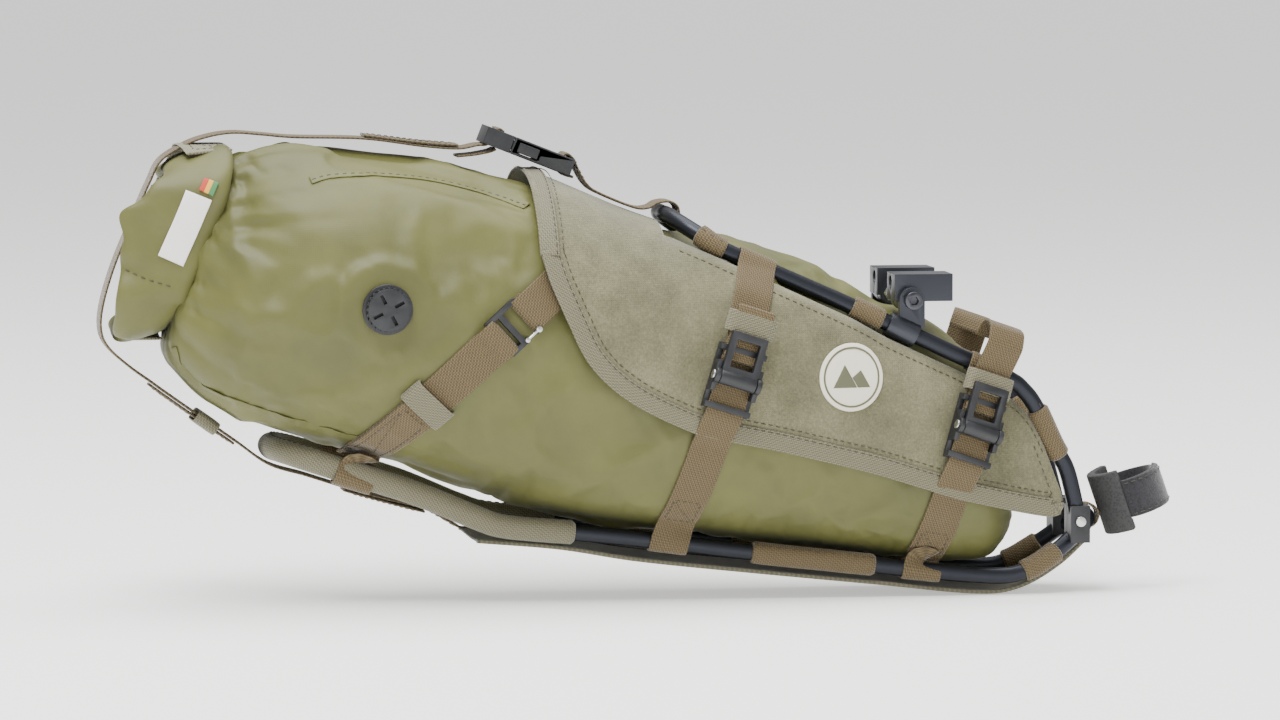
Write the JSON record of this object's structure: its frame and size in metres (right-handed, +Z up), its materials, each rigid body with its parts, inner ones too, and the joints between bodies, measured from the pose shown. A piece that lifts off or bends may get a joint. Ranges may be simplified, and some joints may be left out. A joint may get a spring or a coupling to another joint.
{
  "type": "saddle bag",
  "caption": "Bicycle saddle bag: a roll-top dry bag held in a bent-tube harness with canvas side panels, webbing cam straps, saddle rail clamps and a seatpost strap.",
  "frame": {"origin": "middle of the seatpost strap, on the seatpost's axis", "axes": "+X forward on the bicycle, along the saddle rails; +Y to the bicycle's left; +Z up. The seatpost leans back 19 degrees from +Z"},
  "size_m": [0.5548, 0.1686, 0.241],
  "materials": {
    "anodised_tube": "satin",
    "clamp_black": "satin",
    "black_bolt": "satin",
    "steel": "satin",
    "foam": "matte",
    "hook_and_loop": "matte",
    "canvas": "matte",
    "ribbed_tape": "matte",
    "coated_fabric": "satin",
    "brown_webbing": "matte",
    "patch": "matte",
    "black_plastic": "satin"
  },
  "bodies": {
    "harness": {"upper_tube": "anodised_tube", "lower_tube": "anodised_tube", "joint_brackets": "anodised_tube", "joint_screws": "steel", "tube_clamp_right": "clamp_black", "tube_clamp_left": "clamp_black", "seatpost_pad": "foam", "seatpost_strap": "hook_and_loop", "front_webbing_loop": "brown_webbing", "hood_top": "canvas", "side_panel_right": "canvas", "side_panel_left": "canvas", "edge_binding": "ribbed_tape", "base_sheet": "canvas", "tube_sleeve": "ribbed_tape", "tube_wraps": "brown_webbing", "drybag": "coated_fabric", "roll_closure": "coated_fabric", "roll_webbing": "ribbed_tape", "roll_buckle_socket": "black_plastic", "roll_buckle_plug": "black_plastic", "patches": "patch", "valve_base": "black_plastic", "rear_strap_right": "brown_webbing", "rear_strap_left": "brown_webbing", "front_strap_right": "brown_webbing", "front_strap_left": "brown_webbing", "rear_buckle_right": "black_plastic", "rear_buckle_left": "black_plastic", "front_buckle_right": "black_plastic", "front_buckle_left": "black_plastic", "cam_pins": "steel", "strap_keepers": "ribbed_tape", "diagonal_strap_right": "brown_webbing", "diagonal_strap_left": "brown_webbing", "hook_buckle_right": "black_plastic", "hook_buckle_left": "black_plastic", "compression_strap": "brown_webbing", "compression_anchor": "brown_webbing", "top_buckle_socket": "black_plastic", "top_buckle_plug": "black_plastic"},
    "rear_lever_right": {"rear_lever_right": "black_plastic"},
    "rear_lever_left": {"rear_lever_left": "black_plastic"},
    "front_lever_right": {"front_lever_right": "black_plastic"},
    "front_lever_left": {"front_lever_left": "black_plastic"},
    "rail_jaws_right": {"outer_jaw_right": "clamp_black", "inner_jaw_right": "clamp_black", "clamp_nut_right": "steel"},
    "rail_jaws_left": {"outer_jaw_left": "clamp_black", "inner_jaw_left": "clamp_black", "clamp_nut_left": "steel"},
    "clamp_bolt_right": {"clamp_bolt_right": "black_bolt"},
    "clamp_bolt_left": {"clamp_bolt_left": "black_bolt"},
    "valve_cap": {"valve_cap": "black_plastic"},
    "top_prong_right": {"top_prong_right": "black_plastic"},
    "top_prong_left": {"top_prong_left": "black_plastic"},
    "roll_prong_upper": {"roll_prong_upper": "black_plastic"},
    "roll_prong_lower": {"roll_prong_lower": "black_plastic"},
    "hook_gate_right": {"hook_gate_right": "steel"},
    "hook_gate_left": {"hook_gate_left": "steel"}
  },
  "joints": [
    {"name": "rear_cam_right", "type": "hinge", "parent": "harness", "child": "rear_lever_right", "pos_m": [-0.21983, -0.07781, 0.06704], "axis": [0.9454, 0.1175, -0.304], "range_deg": [0, 100]},
    {"name": "rear_cam_left", "type": "hinge", "parent": "harness", "child": "rear_lever_left", "pos_m": [-0.21983, 0.07781, 0.06704], "axis": [-0.9454, 0.1175, 0.304], "range_deg": [0, 100]},
    {"name": "front_cam_right", "type": "hinge", "parent": "harness", "child": "front_lever_right", "pos_m": [-0.09069, -0.05315, 0.03773], "axis": [0.9229, 0.2163, -0.3184], "range_deg": [0, 100]},
    {"name": "front_cam_left", "type": "hinge", "parent": "harness", "child": "front_lever_left", "pos_m": [-0.09069, 0.05315, 0.03773], "axis": [-0.9229, 0.2163, 0.3184], "range_deg": [0, 100]},
    {"name": "jaw_tilt_right", "type": "hinge", "parent": "harness", "child": "rail_jaws_right", "pos_m": [-0.123, -0.03, 0.104], "axis": [0, 1, 0], "range_deg": [-20, 20]},
    {"name": "jaw_tilt_left", "type": "hinge", "parent": "harness", "child": "rail_jaws_left", "pos_m": [-0.123, 0.03, 0.104], "axis": [0, 1, 0], "range_deg": [-20, 20]},
    {"name": "bolt_turn_right", "type": "hinge", "parent": "harness", "child": "clamp_bolt_right", "pos_m": [-0.123, -0.03, 0.104], "axis": [0, -1, 0], "continuous": true},
    {"name": "bolt_turn_left", "type": "hinge", "parent": "harness", "child": "clamp_bolt_left", "pos_m": [-0.123, 0.03, 0.104], "axis": [0, 1, 0], "continuous": true},
    {"name": "valve_twist", "type": "hinge", "parent": "harness", "child": "valve_cap", "pos_m": [-0.397, -0.0804, 0.10501], "axis": [0.0006, -1, 0.0031], "range_deg": [0, 90]},
    {"name": "top_prong_right_squeeze", "type": "hinge", "parent": "harness", "child": "top_prong_right", "pos_m": [-0.32437, -0.0084, 0.1833], "axis": [0.3665, 0, 0.9304], "range_deg": [0, 8], "stiffness_Nm_per_rad": 0.4},
    {"name": "top_prong_left_squeeze", "type": "hinge", "parent": "harness", "child": "top_prong_left", "pos_m": [-0.32437, 0.0084, 0.1833], "axis": [-0.3665, 0, -0.9304], "range_deg": [0, 8], "stiffness_Nm_per_rad": 0.4},
    {"name": "roll_prong_upper_squeeze", "type": "hinge", "parent": "harness", "child": "roll_prong_upper", "pos_m": [-0.4881, 0.038, 0.14072], "axis": [0, 1, 0], "range_deg": [0, 8], "stiffness_Nm_per_rad": 0.4},
    {"name": "roll_prong_lower_squeeze", "type": "hinge", "parent": "harness", "child": "roll_prong_lower", "pos_m": [-0.50396, 0.038, 0.14627], "axis": [0, -1, 0], "range_deg": [0, 8], "stiffness_Nm_per_rad": 0.4},
    {"name": "gate_press_right", "type": "hinge", "parent": "harness", "child": "hook_gate_right", "pos_m": [-0.32105, -0.08166, 0.09461], "axis": [-0.0506, 0.9977, -0.0461], "range_deg": [0, 20], "stiffness_Nm_per_rad": 0.02},
    {"name": "gate_press_left", "type": "hinge", "parent": "harness", "child": "hook_gate_left", "pos_m": [-0.32105, 0.08166, 0.09461], "axis": [0.0506, 0.9977, 0.0461], "range_deg": [0, 20], "stiffness_Nm_per_rad": 0.02}
  ],
  "couplings": [
    {"joint": "top_prong_left_squeeze", "follows": "top_prong_right_squeeze", "ratio": 1},
    {"joint": "roll_prong_lower_squeeze", "follows": "roll_prong_upper_squeeze", "ratio": 1}
  ]
}
